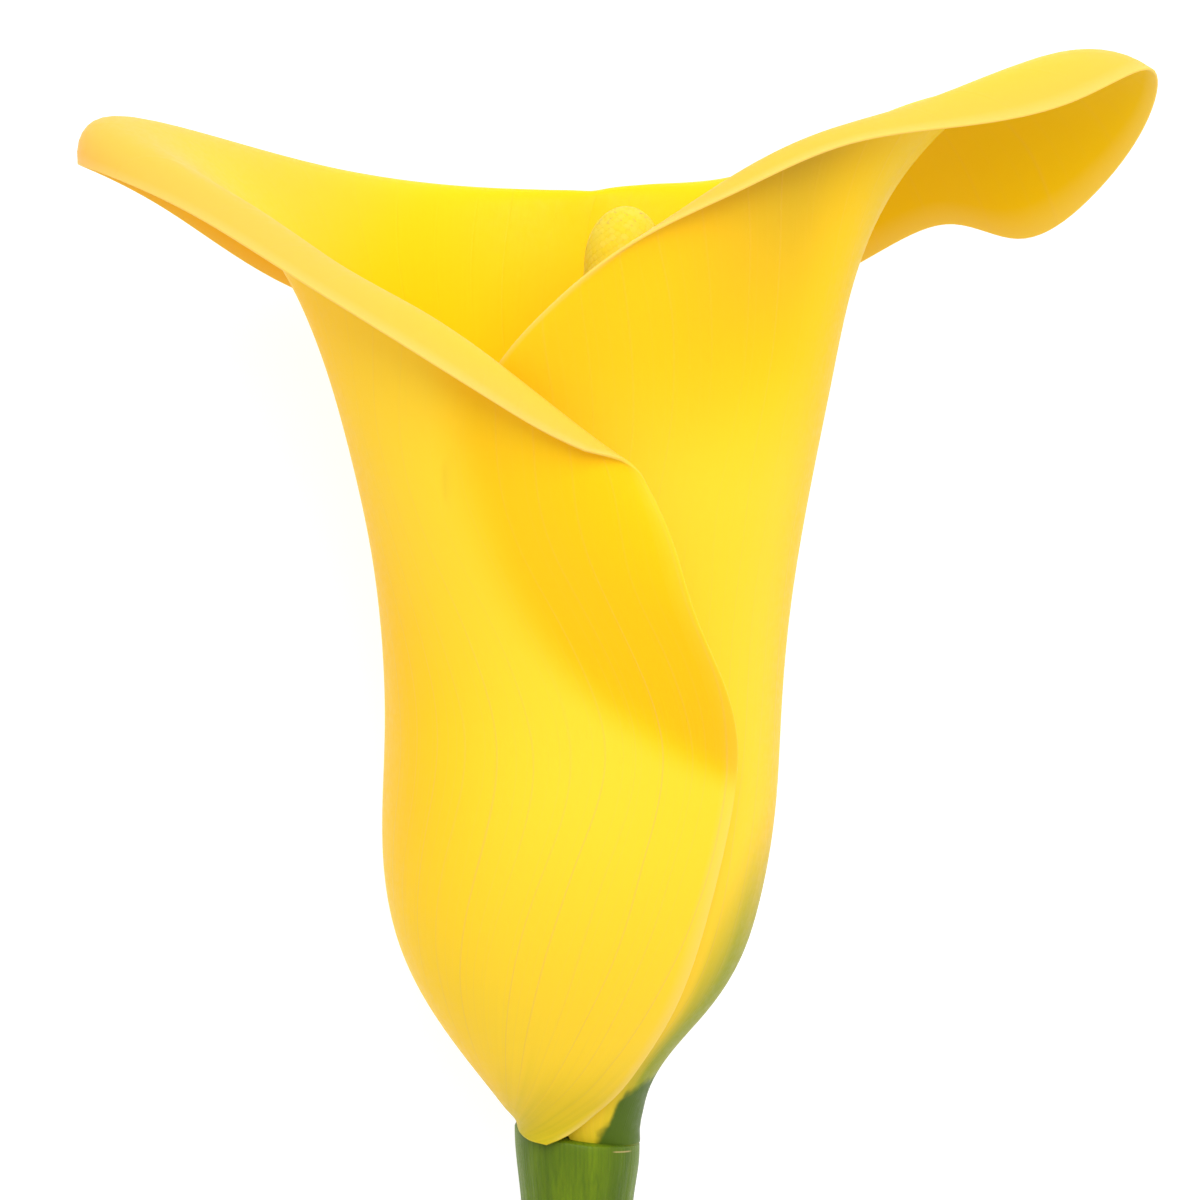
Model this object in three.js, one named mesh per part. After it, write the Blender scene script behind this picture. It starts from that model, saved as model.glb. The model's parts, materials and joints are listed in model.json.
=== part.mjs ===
// A calla lily flower cut with a short stem and laid on its back, so that it faces up.
// One leaf, the spathe, is rolled into a trumpet round the spadix, and both stand on the stem.
// Millimetres, +Z up. Each piece is shaped upright, with Y up its axis and Z to its front,
// and the whole flower is then tilted down onto the back of its rim and the end of its stem.
import * as THREE from 'three';
import { NURBSSurface } from 'three/addons/curves/NURBSSurface.js';

// How the flower lies
const TILT_DEGREES = 7.9;
const REST_LEVEL = -17.5;
const REST_SOFTNESS = 0.5;

// Colours
const PETAL_YELLOW = 0xfed41e;
const SPADIX_YELLOW = 0xfce22b;
const STEM_GREEN = 0x728b26;

// Spathe: a sheet that thins from its base to THINNED_BY of the way up
const BASE_THICKNESS = 0.9;
const RIM_THICKNESS = 0.6;
const THINNED_BY = 0.5;
const STEPS_ROUND = 60;
const STEPS_UP = 38;
const NORMAL_STEP = 0.001;

// Rows of control points up the tube, which ends at a share of the rim's height, and the flare above it
const TUBE_ROWS = 10;
const ROW_CROWDING = 1.2;
const THROAT_SHARE = 0.8;
const FLARE_OUT = 0.34;
const FLARE_UP = 0.62;

// Where the leaf overlaps, its outer layer moves out and its inner one in between two angles from the front,
// and less at the very base
const OUTER_LAYER_SHIFT = 0.9;
const OUTER_SHIFT_FROM = -90;
const OUTER_SHIFT_TO = -10;
const INNER_LAYER_SHIFT = -0.9;
const INNER_SHIFT_FROM = 290;
const INNER_SHIFT_TO = 340;
const BASE_SHIFT_SHARE = 0.95;
const BASE_SHIFT_HEIGHT = 3;

// The leaf's base is slanted: highest on the left
const BASE_SLANT = 1.5;
const SLANT_ENDS = 5;

// The fold: beside the free edge the outer layer turns up to the front, right of a crease that starts
// at the edge and swings to the left on its way up.
const CREASE_HEIGHT = 31.2;
const CREASE_LEFT = -9;
const CREASE_REACH = 22.3;
const CREASE_SWING = 11.5;
const FOLD_SLOPE = 0.58;
const FOLD_SOFTNESS = 1.2;
const OUTER_LAYER_ENDS = 0.18;

// The lip's corner is rounded: how far round it reaches, and where up the leaf it starts
const CORNER_ROUND = 0.012;
const CORNER_STARTS = 0.96;

// The tube: height, then how far its wall lies to the left, right, front and back
const TUBE = [
  [0, -4.85, 4.75, 4.9, 4.7],
  [2.5, -5.7, 4.55, 5.0, 4.8],
  [5, -7.1, 3.9, 6.2, 6.2],
  [9.6, -11.3, 10.8, 9.8, 9.8],
  [16, -14.7, 13.5, 13.6, 13.4],
  [22.4, -15.8, 15.0, 15.6, 15.0],
  [28, -15.7, 15.8, 16.0, 15.5],
  [35, -15.1, 15.9, 15.0, 15.5],
  [42, -15.6, 16.4, 15.0, 15.6],
  [50, -16.7, 17.6, 15.8, 16.2],
  [58, -18.6, 19.3, 16.0, 17.4],
  [64, -20.2, 20.5, 15.4, 18.6],
  [72, -23.0, 21.9, 14.8, 20.0],
  [80, -27.0, 25.0, 14.5, 21.5],
];

// The two side edges of the leaf: height, then the angle in degrees from the front, right of it above zero
const OUTER_EDGE = [
  [0, -25], [3.3, 28], [7.5, 36.5], [12.3, 36.5], [17.3, 40], [22.6, 42.5], [28, 45.5],
  [34, 49], [40, 41], [46, 27], [52, 18], [57, 11],
];
const INNER_EDGE = [
  [0, -369], [4, -379], [12, -392], [24, -398], [40, -398], [52, -394], [62, -388],
];

// The rim from the outer corner round the left wing, the back and the right wing to the hidden inner corner:
// angle, side, height, front, then how high the roll stands above the rim and how far inside it
const RIM = [
  [12, 4.6, 57.0, 14.9, 0.0, 0.8],
  [-4, 0.2, 58.0, 17.8, 3.0, 2.6],
  [-20, -6.0, 61.4, 19.5, 4.2, 3.4],
  [-42, -14.0, 66.4, 18.0, 3.8, 4.5],
  [-62, -22.5, 71.0, 13.0, 1.4, 5.5],
  [-78, -30.5, 75.7, 8.0, 1.6, 5.5],
  [-89, -38.2, 78.4, 4.0, 3.9, 1.2],
  [-99, -40.9, 78.6, -3.0, 6.9, -1.4],
  [-112, -33.5, 74.4, -12.0, 7.9, 3.2],
  [-128, -24.0, 65.8, -20.0, 13.8, 5.0],
  [-148, -12.5, 62.6, -26.4, 15.4, 5.5],
  [-167, -4.0, 60.6, -27.0, 17.2, 5.5],
  [-176, 0.6, 57.4, -25.6, 20.6, 4.6],
  [-181, 2.2, 54.6, -23.6, 23.4, 3.4],
  [-186, 3.8, 57.6, -25.8, 20.6, 4.6],
  [-196, 8.0, 61.4, -27.2, 16.9, 5.6],
  [-210, 15.5, 64.0, -26.6, 14.2, 5.8],
  [-226, 23.5, 68.5, -22.5, 12.3, 5.5],
  [-240, 30.0, 73.2, -18.5, 10.7, 6.0],
  [-250, 35.5, 69.6, -15.5, 16.6, 6.0],
  [-260, 40.9, 74.2, -11.0, 13.3, 5.0],
  [-268, 45.6, 81.2, -5.0, 7.6, 5.0],
  [-276, 46.2, 87.8, 1.0, 1.9, 5.6],
  [-286, 39.0, 83.4, 6.5, 4.7, 6.0],
  [-298, 30.0, 82.2, 10.0, 3.2, 5.0],
  [-313, 20.5, 81.8, 13.5, 1.5, 3.6],
  [-328, 12.3, 77.6, 15.8, 2.5, 2.5],
  [-348, 4.0, 74.2, 16.3, -0.5, 0.8],
  [-368, -3.0, 68.3, 15.8, -1.0, 0.0],
  [-385, -7.5, 63.0, 14.6, -2.0, 0.0],
  [-397, -10.5, 56.0, 13.0, -3.0, 0.0],
];

// Spadix, standing on the stem and leaning to the right
const SPADIX_FOOT = 4.3;
const SPADIX_LENGTH = 70.8;
const SPADIX_RADIUS = 3.15;
const SPADIX_FOOT_RADIUS = 2.7;
const SPADIX_SWELL_HEIGHT = 12;
const SPADIX_LEAN_DEGREES = -3.1;
const FLORET_RELIEF = 0.16;
const BARE_FOOT_RINGS = 2;
const BARE_TIP_RADIUS = 1;
const SPADIX_SIDES = 28;
const SPADIX_RINGS = 64;
const RING_CROWDING = 0.9;

// Stem
const STEM_LENGTH = 93.5;
const STEM_SHOULDER = -0.3;
const STEM_WAIST = -6;
const STEM_SIDE = -0.15;
const STEM_TOP_RADIUS = 5;
const STEM_WAIST_RADIUS = 4.4;
const STEM_CUT_RADIUS = 4.9;
const SHOULDER_BEVEL_WIDTH = 0.2;
const SHOULDER_BEVEL_HEIGHT = 0.4;
const STEM_BEND = 3.2;
const STEM_SIDES = 24;
const STEM_RINGS = 12;
const SPIGOT_RADIUS = 3.2;
const SPIGOT_TOP = 4.0;
const CUT_BEVEL = 0.25;

const tilt = THREE.MathUtils.degToRad(TILT_DEGREES);

function readTable(table, place, column = 1) {
  const last = table.length - 1;
  if (place <= table[0][0]) return table[0][column];
  if (place >= table[last][0]) return table[last][column];
  const next = table.findIndex((row) => row[0] > place);
  const [low, high] = [table[next - 1], table[next]];
  const share = (place - low[0]) / (high[0] - low[0]);
  return THREE.MathUtils.lerp(low[column], high[column], share);
}

// One control point of the tube for a rim station, at a height
function tubePoint(share, height) {
  const { degToRad, lerp, smoothstep } = THREE.MathUtils;
  const turn = lerp(readTable(OUTER_EDGE, height), readTable(INNER_EDGE, height), share);
  const shift = OUTER_LAYER_SHIFT * smoothstep(turn, OUTER_SHIFT_FROM, OUTER_SHIFT_TO)
    + INNER_LAYER_SHIFT * smoothstep(-turn, INNER_SHIFT_FROM, INNER_SHIFT_TO);
  const kept = lerp(BASE_SHIFT_SHARE, 1, smoothstep(height, 0, BASE_SHIFT_HEIGHT));
  const [left, right, front, back] = [1, 2, 3, 4].map((column) => readTable(TUBE, height, column));
  const across = Math.sin(degToRad(turn));
  const along = Math.cos(degToRad(turn));
  const side = (left + right) / 2 + ((right - left) / 2 + shift * kept) * across;
  const depth = ((along > 0 ? front : back) + shift * kept) * along;
  const slant = BASE_SLANT * (1 - across) / 2 * (1 - smoothstep(height, 0, SLANT_ENDS));
  return new THREE.Vector4(side, height + slant, depth, 1);
}

// Rows of control points from the base up the tube, over the roll and down to the rim
function spatheNet() {
  const rows = Array.from({ length: TUBE_ROWS + 3 }, () => []);
  const [first, last] = [RIM[0][0], RIM[RIM.length - 1][0]];
  for (const [turn, side, height, front, rise, inset] of RIM) {
    const share = (turn - first) / (last - first);
    const throat = (height + Math.max(rise, 0)) * THROAT_SHARE;
    for (let row = 0; row < TUBE_ROWS; row++) {
      rows[row].push(tubePoint(share, throat * (row / (TUBE_ROWS - 1)) ** ROW_CROWDING));
    }
    const mouth = rows[TUBE_ROWS - 1].at(-1);
    const reach = Math.hypot(side, front);
    const inward = 1 - inset / reach;
    const roll = new THREE.Vector4(side * inward, height + rise, front * inward, 1);
    rows[TUBE_ROWS].push(new THREE.Vector4(
      THREE.MathUtils.lerp(mouth.x, roll.x, FLARE_OUT),
      THREE.MathUtils.lerp(mouth.y, roll.y, FLARE_UP),
      THREE.MathUtils.lerp(mouth.z, roll.z, FLARE_OUT),
      1,
    ));
    rows[TUBE_ROWS + 1].push(roll);
    rows[TUBE_ROWS + 2].push(new THREE.Vector4(side, height, front, 1));
  }
  return rows;
}

function clampedKnots(count) {
  const inner = Array.from({ length: count - 2 }, (_, index) => index);
  return [0, 0, 0, ...inner, count - 3, count - 3, count - 3];
}

// What would sink below the level that the flower lies on is pressed flat there
function pressFlat(point) {
  const level = point.y * Math.sin(tilt) + point.z * Math.cos(tilt);
  const lift = REST_SOFTNESS * Math.log1p(Math.exp((REST_LEVEL - level) / REST_SOFTNESS));
  point.y += lift * Math.sin(tilt);
  point.z += lift * Math.cos(tilt);
  return point;
}

// Beside the free edge the outer layer is turned up to the front
function foldUp(point, round) {
  if (round > OUTER_LAYER_ENDS) return point;
  const crease = CREASE_LEFT + CREASE_REACH * Math.exp((CREASE_HEIGHT - point.y) / CREASE_SWING);
  const past = point.x - crease;
  point.z += FOLD_SLOPE * FOLD_SOFTNESS * Math.log1p(Math.exp(past / FOLD_SOFTNESS));
  return point;
}

// A place round the leaf, moved in from the free edge near the lip so that its corner is round
function roundedCorner(up, round) {
  const near = THREE.MathUtils.clamp((up - CORNER_STARTS) / (1 - CORNER_STARTS), 0, 1);
  return round + CORNER_ROUND * (1 - Math.sqrt(1 - near ** 2)) * (1 - round) ** 2;
}

// A closed sheet: the outer face, the inner face split alike, and a wall round the four sides
function spatheGeometry() {
  const rows = spatheNet();
  const surface = new NURBSSurface(3, 3, clampedKnots(rows.length), clampedKnots(RIM.length), rows);
  const sheetPoint = (up, round) => {
    const point = new THREE.Vector3();
    surface.getPoint(THREE.MathUtils.clamp(up, 0, 1), THREE.MathUtils.clamp(round, 0, 1), point);
    return pressFlat(foldUp(point, round));
  };
  const outward = (up, round) => {
    const alongUp = sheetPoint(up + NORMAL_STEP, round).sub(sheetPoint(up - NORMAL_STEP, round));
    const alongRound = sheetPoint(up, round + NORMAL_STEP).sub(sheetPoint(up, round - NORMAL_STEP));
    return alongUp.cross(alongRound).normalize();
  };
  const faces = [[], []];
  for (let i = 0; i <= STEPS_UP; i++) {
    for (let j = 0; j <= STEPS_ROUND; j++) {
      const up = i / STEPS_UP;
      const round = roundedCorner(up, j / STEPS_ROUND);
      const thinned = THREE.MathUtils.smoothstep(up, 0, THINNED_BY);
      const half = THREE.MathUtils.lerp(BASE_THICKNESS, RIM_THICKNESS, thinned) / 2;
      const normal = outward(up, round);
      const middle = sheetPoint(up, round);
      faces[0].push(...middle.clone().addScaledVector(normal, half).toArray());
      faces[1].push(...middle.clone().addScaledVector(normal, -half).toArray());
    }
  }
  const wide = STEPS_ROUND + 1;
  const faceSize = wide * (STEPS_UP + 1);
  const index = [];
  const addQuad = (a, b, c, d) => index.push(a, b, c, a, c, d);
  for (let i = 0; i < STEPS_UP; i++) {
    for (let j = 0; j < STEPS_ROUND; j++) {
      const [a, b, c, d] = [i * wide + j, (i + 1) * wide + j, (i + 1) * wide + j + 1, i * wide + j + 1];
      addQuad(a, b, c, d);
      index.push(c + faceSize, b + faceSize, a + faceSize, d + faceSize, c + faceSize, a + faceSize);
    }
  }
  const addWall = (from, to) => addQuad(from, to, to + faceSize, from + faceSize);
  const top = STEPS_UP * wide;
  for (let j = 0; j < STEPS_ROUND; j++) {
    addWall(j, j + 1);
    addWall(top + j + 1, top + j);
  }
  for (let i = 0; i < STEPS_UP; i++) {
    addWall((i + 1) * wide, i * wide);
    addWall(i * wide + STEPS_ROUND, (i + 1) * wide + STEPS_ROUND);
  }
  const geometry = new THREE.BufferGeometry();
  geometry.setAttribute('position', new THREE.Float32BufferAttribute([...faces[0], ...faces[1]], 3));
  geometry.setIndex(index);
  geometry.computeVertexNormals();
  return geometry;
}

// A blunt rod covered with small florets, raised in staggered rows
function spadixGeometry() {
  const profile = [];
  for (let ring = 0; ring <= SPADIX_RINGS; ring++) {
    const share = ring / SPADIX_RINGS;
    const height = SPADIX_LENGTH * Math.sin(share * Math.PI / 2) ** RING_CROWDING;
    const fromTip = (SPADIX_LENGTH - height) / SPADIX_RADIUS;
    const dome = fromTip < 1 ? Math.sqrt(Math.max(0, 1 - (1 - fromTip) ** 2)) : 1;
    const swollen = Math.min(1, height / SPADIX_SWELL_HEIGHT);
    const swell = THREE.MathUtils.lerp(SPADIX_FOOT_RADIUS, SPADIX_RADIUS, swollen);
    profile.push(new THREE.Vector2(swell * dome, height));
  }
  profile.unshift(new THREE.Vector2(0, 0));
  profile[profile.length - 1].set(0, SPADIX_LENGTH);
  const geometry = new THREE.LatheGeometry(profile, SPADIX_SIDES);
  const position = geometry.attributes.position;
  for (let vertex = 0; vertex < position.count; vertex++) {
    const [side, ring] = [Math.floor(vertex / profile.length), vertex % profile.length];
    const radius = profile[ring].x;
    const raised = (side + ring) % 2 === 0 ? FLORET_RELIEF : -FLORET_RELIEF;
    const covered = radius > BARE_TIP_RADIUS && ring > BARE_FOOT_RINGS;
    const scale = covered ? (radius + raised) / radius : 1;
    position.setX(vertex, position.getX(vertex) * scale);
    position.setZ(vertex, position.getZ(vertex) * scale);
  }
  return geometry;
}

// A fleshy rod, cut off straight, with a shoulder under the spathe, slanted like its base, and a spigot
// that goes up into it
function stemGeometry() {
  const profile = [new THREE.Vector2(0, -STEM_LENGTH)];
  profile.push(new THREE.Vector2(STEM_CUT_RADIUS - CUT_BEVEL, -STEM_LENGTH));
  for (let ring = 0; ring <= STEM_RINGS; ring++) {
    const height = THREE.MathUtils.lerp(-STEM_LENGTH + CUT_BEVEL, STEM_WAIST, ring / STEM_RINGS);
    const share = THREE.MathUtils.smoothstep(-height, 0, STEM_LENGTH);
    profile.push(new THREE.Vector2(THREE.MathUtils.lerp(STEM_WAIST_RADIUS, STEM_CUT_RADIUS, share), height));
  }
  profile.push(new THREE.Vector2(STEM_TOP_RADIUS, STEM_SHOULDER - SHOULDER_BEVEL_HEIGHT));
  profile.push(new THREE.Vector2(STEM_TOP_RADIUS - SHOULDER_BEVEL_WIDTH, STEM_SHOULDER));
  profile.push(new THREE.Vector2(SPIGOT_RADIUS, STEM_SHOULDER));
  profile.push(new THREE.Vector2(SPIGOT_RADIUS, SPIGOT_TOP));
  profile.push(new THREE.Vector2(0, SPIGOT_TOP));
  const geometry = new THREE.LatheGeometry(profile, STEM_SIDES);
  const position = geometry.attributes.position;
  for (let vertex = 0; vertex < position.count; vertex++) {
    const [side, height] = [position.getX(vertex), position.getY(vertex)];
    const below = Math.max(0, -height) / STEM_LENGTH;
    position.setX(vertex, side + STEM_SIDE - STEM_BEND * below ** 2);
    if (height < SPIGOT_TOP) {
      const slanted = THREE.MathUtils.smoothstep(height, STEM_WAIST, STEM_SHOULDER);
      position.setY(vertex, height + slanted * BASE_SLANT * (1 - side / STEM_TOP_RADIUS) / 2);
    }
  }
  return geometry;
}

function addPiece(group, name, geometry, color, roughness) {
  const material = new THREE.MeshStandardMaterial({ color, roughness, metalness: 0 });
  const piece = new THREE.Mesh(geometry, material);
  piece.name = name;
  group.add(piece);
  return piece;
}

const flower = new THREE.Group();
addPiece(flower, 'spathe', spatheGeometry(), PETAL_YELLOW, 0.5);
const spadix = addPiece(flower, 'spadix', spadixGeometry(), SPADIX_YELLOW, 0.8);
spadix.position.y = SPADIX_FOOT;
spadix.rotation.z = THREE.MathUtils.degToRad(SPADIX_LEAN_DEGREES);
addPiece(flower, 'stem', stemGeometry(), STEM_GREEN, 0.6);

// Tilted down onto its rim and stem end, with the middle of its footprint at the origin
flower.rotation.x = tilt;
flower.updateMatrixWorld(true);
const box = new THREE.Box3().setFromObject(flower, true);
const middle = box.getCenter(new THREE.Vector3());
flower.position.set(-middle.x, -middle.y, -box.min.z);

const part = new THREE.Group();
part.add(flower);
part.updateMatrixWorld(true);

export default part;
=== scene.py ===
"""A yellow calla lily flower, cut with a short stem and laid on its back, with its studio."""

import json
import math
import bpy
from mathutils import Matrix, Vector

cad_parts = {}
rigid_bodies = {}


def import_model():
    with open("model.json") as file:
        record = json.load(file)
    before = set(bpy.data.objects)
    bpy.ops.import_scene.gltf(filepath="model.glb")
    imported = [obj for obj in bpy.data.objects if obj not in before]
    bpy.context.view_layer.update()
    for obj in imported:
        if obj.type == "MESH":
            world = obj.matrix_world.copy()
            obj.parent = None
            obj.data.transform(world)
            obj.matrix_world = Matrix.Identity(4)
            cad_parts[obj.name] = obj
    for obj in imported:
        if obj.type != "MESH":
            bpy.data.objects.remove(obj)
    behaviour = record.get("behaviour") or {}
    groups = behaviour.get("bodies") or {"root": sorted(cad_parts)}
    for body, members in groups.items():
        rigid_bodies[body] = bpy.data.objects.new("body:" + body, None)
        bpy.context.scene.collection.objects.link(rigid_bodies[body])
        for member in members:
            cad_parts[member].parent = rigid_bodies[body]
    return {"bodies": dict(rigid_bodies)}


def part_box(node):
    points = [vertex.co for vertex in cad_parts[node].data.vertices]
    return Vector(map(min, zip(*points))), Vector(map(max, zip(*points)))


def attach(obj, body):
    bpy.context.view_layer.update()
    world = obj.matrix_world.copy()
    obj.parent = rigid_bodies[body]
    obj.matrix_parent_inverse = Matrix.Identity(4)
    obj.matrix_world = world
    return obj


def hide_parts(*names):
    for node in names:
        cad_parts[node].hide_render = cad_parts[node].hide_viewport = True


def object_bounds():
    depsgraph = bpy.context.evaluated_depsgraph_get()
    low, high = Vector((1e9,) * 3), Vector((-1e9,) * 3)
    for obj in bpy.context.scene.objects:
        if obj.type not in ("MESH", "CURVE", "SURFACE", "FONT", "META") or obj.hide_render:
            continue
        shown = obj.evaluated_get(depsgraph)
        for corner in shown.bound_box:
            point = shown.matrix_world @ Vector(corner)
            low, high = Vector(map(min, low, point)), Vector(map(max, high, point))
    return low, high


bl_info = {
    "name": "Calla lily flower",
    "version": (1, 0, 0),
    "blender": (4, 5, 0),
    "location": "3D View > Sidebar > Calla lily",
    "description": "Builds the spathe, spadix and stem of a calla lily flower, and the studio round it",
    "category": "Object",
}

import bpy
import numpy as np
from bpy.props import FloatProperty, FloatVectorProperty, PointerProperty
from mathutils import Color, Matrix, Vector

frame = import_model()
CAD_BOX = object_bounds()
BODY = next(iter(frame["bodies"]))

# Lengths below are millimetres in the flower's own frame: side, up its axis, front
MM = 0.001

# How the flower lies
TILT = math.radians(7.9)
REST_LEVEL = -17.5
REST_SOFTNESS = 0.5

# Spathe: steps round and up its sheet and round the half circle of its edges, the step of its slopes, and
# the height that its UV map's unit covers
STEPS_ROUND = 250
STEPS_UP = 170
EDGE_STEPS = 6
PLACE_STEP = 0.001
UV_HEIGHT = 100

# How far up the leaf has its rim's thickness, and what share of its thickness is left at its edges and its
# base, and how far from them
THINNED_BY = 0.5
EDGE_SHARE = 0.6
EDGE_THIN = 2
BASE_EDGE_SHARE = 0.35
BASE_EDGE_ENDS = 3

# The lobe of the outer layer that drapes over the stem: it keeps to the front face of the solid's sheet
SOLID_HALF = 0.45
LOBE_ENDS = 0.11
LOBE_DROP = 0.6
LOBE_HEIGHT = 5

# Rows of control points up the tube, which ends at a share of the rim's height, and the flare above it
TUBE_ROWS = 10
ROW_CROWDING = 1.2
THROAT_SHARE = 0.8
FLARE_OUT = 0.34
FLARE_UP = 0.62

# Where the leaf overlaps, its outer layer moves out and its inner one in between two angles from the front,
# and less at the very base
OUTER_LAYER_SHIFT = 0.9
OUTER_SHIFT_ANGLES = (-90, -10)
INNER_LAYER_SHIFT = -0.9
INNER_SHIFT_ANGLES = (290, 340)
BASE_SHIFT_SHARE = 0.95
BASE_SHIFT_HEIGHT = 3

# The leaf's base is slanted: highest on the left
BASE_SLANT = 1.5
SLANT_ENDS = 5

# The fold: beside the free edge the outer layer turns up to the front, right of a crease that starts
# at the edge and swings to the left on its way up.
CREASE_HEIGHT = 31.2
CREASE_LEFT = -9
CREASE_REACH = 22.3
CREASE_SWING = 11.5
FOLD_SLOPE = 0.58
FOLD_SOFTNESS = 1.2
OUTER_LAYER_ENDS = 0.18

# The lip's corner is rounded: how far round it reaches, and where up the leaf it starts
CORNER_ROUND = 0.012
CORNER_STARTS = 0.96

# The tube: height, then how far its wall lies to the left, right, front and back
TUBE = (
    (0, -4.85, 4.75, 4.9, 4.7),
    (2.5, -5.7, 4.55, 5, 4.8),
    (5, -7.1, 3.9, 6.2, 6.2),
    (9.6, -11.3, 10.8, 9.8, 9.8),
    (16, -14.7, 13.5, 13.6, 13.4),
    (22.4, -15.8, 15, 15.6, 15),
    (28, -15.7, 15.8, 16, 15.5),
    (35, -15.1, 15.9, 15, 15.5),
    (42, -15.6, 16.4, 15, 15.6),
    (50, -16.7, 17.6, 15.8, 16.2),
    (58, -18.6, 19.3, 16, 17.4),
    (64, -20.2, 20.5, 15.4, 18.6),
    (72, -23, 21.9, 14.8, 20),
    (80, -27, 25, 14.5, 21.5),
)

# The two side edges of the leaf: height, then the angle in degrees from the front, right of it above zero
OUTER_EDGE = (
    (0, -25), (3.3, 28), (7.5, 36.5), (12.3, 36.5), (17.3, 40), (22.6, 42.5), (28, 45.5),
    (34, 49), (40, 41), (46, 27), (52, 18), (57, 11),
)
INNER_EDGE = ((0, -369), (4, -379), (12, -392), (24, -398), (40, -398), (52, -394), (62, -388))

# The rim from the outer corner round the left wing, the back and the right wing to the hidden inner corner:
# angle, side, height, front, then how high the roll stands above the rim and how far inside it
RIM = (
    (12, 4.6, 57, 14.9, 0, 0.8),
    (-4, 0.2, 58, 17.8, 3, 2.6),
    (-20, -6, 61.4, 19.5, 4.2, 3.4),
    (-42, -14, 66.4, 18, 3.8, 4.5),
    (-62, -22.5, 71, 13, 1.4, 5.5),
    (-78, -30.5, 75.7, 8, 1.6, 5.5),
    (-89, -38.2, 78.4, 4, 3.9, 1.2),
    (-99, -40.9, 78.6, -3, 6.9, -1.4),
    (-112, -33.5, 74.4, -12, 7.9, 3.2),
    (-128, -24, 65.8, -20, 13.8, 5),
    (-148, -12.5, 62.6, -26.4, 15.4, 5.5),
    (-167, -4, 60.6, -27, 17.2, 5.5),
    (-176, 0.6, 57.4, -25.6, 20.6, 4.6),
    (-181, 2.2, 54.6, -23.6, 23.4, 3.4),
    (-186, 3.8, 57.6, -25.8, 20.6, 4.6),
    (-196, 8, 61.4, -27.2, 16.9, 5.6),
    (-210, 15.5, 64, -26.6, 14.2, 5.8),
    (-226, 23.5, 68.5, -22.5, 12.3, 5.5),
    (-240, 30, 73.2, -18.5, 10.7, 6),
    (-250, 35.5, 69.6, -15.5, 16.6, 6),
    (-260, 40.9, 74.2, -11, 13.3, 5),
    (-268, 45.6, 81.2, -5, 7.6, 5),
    (-276, 46.2, 87.8, 1, 1.9, 5.6),
    (-286, 39, 83.4, 6.5, 4.7, 6),
    (-298, 30, 82.2, 10, 3.2, 5),
    (-313, 20.5, 81.8, 13.5, 1.5, 3.6),
    (-328, 12.3, 77.6, 15.8, 2.5, 2.5),
    (-348, 4, 74.2, 16.3, -0.5, 0.8),
    (-368, -3, 68.3, 15.8, -1, 0),
    (-385, -7.5, 63, 14.6, -2, 0),
    (-397, -10.5, 56, 13, -3, 0),
)

# Regions of the leaf where shade and highlights are painted, by share of the way round it: where they begin
# and are full, then where they fade and are gone. Two numbers give one end only.
LEFT_WING = (0.1, 0.22, 0.3, 0.42)
RIGHT_WING = (0.5, 0.6, 0.72, 0.8)
RIGHT_FLANK = (0.64, 0.69, 0.72, 0.76)
RIGHT_LIP = (0.72, 0.8)
LEFT_OF_LIP = (0.78, 0.88)
TUBE_FRONT = (0.72, 0.78)
HIDDEN_CORNER = (0.97, 1)
OUTER_BULGE_HIGHLIGHT_FADES = (0.07, 0.17)

# Heights at which the painted shade and highlights of the outer face fade or rise
FLANK_SHADE_FADES = (60, 72)
TUBE_FRONT_HIGHLIGHT_FADES = (52, 66)
WING_BACK_SHADE_RISES = (56, 68)
EDGE_HIGHLIGHT_FADES = (24, 34)

# Distances over which painted light and shade fade: the highlight left of the crease, the shade past it and
# under the lip from the rim, and the edge highlight from the rim and from the base
BULGE_HIGHLIGHT_BESIDE_CREASE = (0, 5)
FOLD_SHADE_BESIDE_CREASE = (-1, 3)
LIP_SHADE_FADES = (4, 26)
EDGE_HIGHLIGHT_NEAR_RIM = (1, 4)
EDGE_HIGHLIGHT_FROM_BASE = (0.3, 2)

# How strong colours are, from 0 to 1. The first seven are painted shade, sheen and highlights.
LIP_SHADE_STRENGTH = 0.72
LIP_SHADE_DROP = 0.85
FLANK_SHADE_STRENGTH = 0.8
EDGE_HIGHLIGHT_DULLING = 0.8
LEFT_WING_MORE_SHEEN = 0.18
RIM_SHEEN_STRENGTH = 0.85
EDGE_HIGHLIGHT_STRENGTH = 0.4
FLUSH_STRENGTH = 0.88
BROAD_VEIN_STRENGTH = 0.7
FINE_VEIN_STRENGTH = 0.2

# Lines up the leaf: how many round it, how wide they are for their spacing, how far they wander and how many
# of them show. Low down they sweep to one side.
BROAD_VEINS = {"Count": 46.0, "Width": 0.06, "Wander": 0.03, "Shown": 0.8}
FINE_VEINS = {"Count": 150.0, "Width": 0.16, "Wander": 0.02, "Shown": 0.72}
VEIN_SWEEP = 0.09
VEIN_SWEEP_FALL = 7.0

# How high the leaf is flushed with green, and how high it is as green as the stem: share of the way round
# it, height
FLUSH_TOP = (
    (0, 7.5), (0.12, 7), (0.2, 5.5), (0.25, 7.5), (0.38, 14), (0.5, 25), (0.7, 28), (0.77, 26), (0.8, 20),
    (0.82, 12.5), (0.838, 9.5), (0.87, 6), (0.9, 4.5), (1, 3),
)
STEM_GREEN_TOP = (
    (0, -1), (0.25, -1), (0.4, 1.5), (0.6, 6), (0.733, 6.2), (0.79, 5.4), (0.832, 4.8), (0.862, 2.4),
    (0.925, 0.2), (1, -1),
)

# How far below those heights the two greens start and are full, and how far their borders stray
FLUSH_RISES = (-3.0, 13.0)
FLUSH_STREAKS = 2.5
GREEN_RISES = (-0.6, 0.6)
GREEN_RAGGED = 1.6

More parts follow.
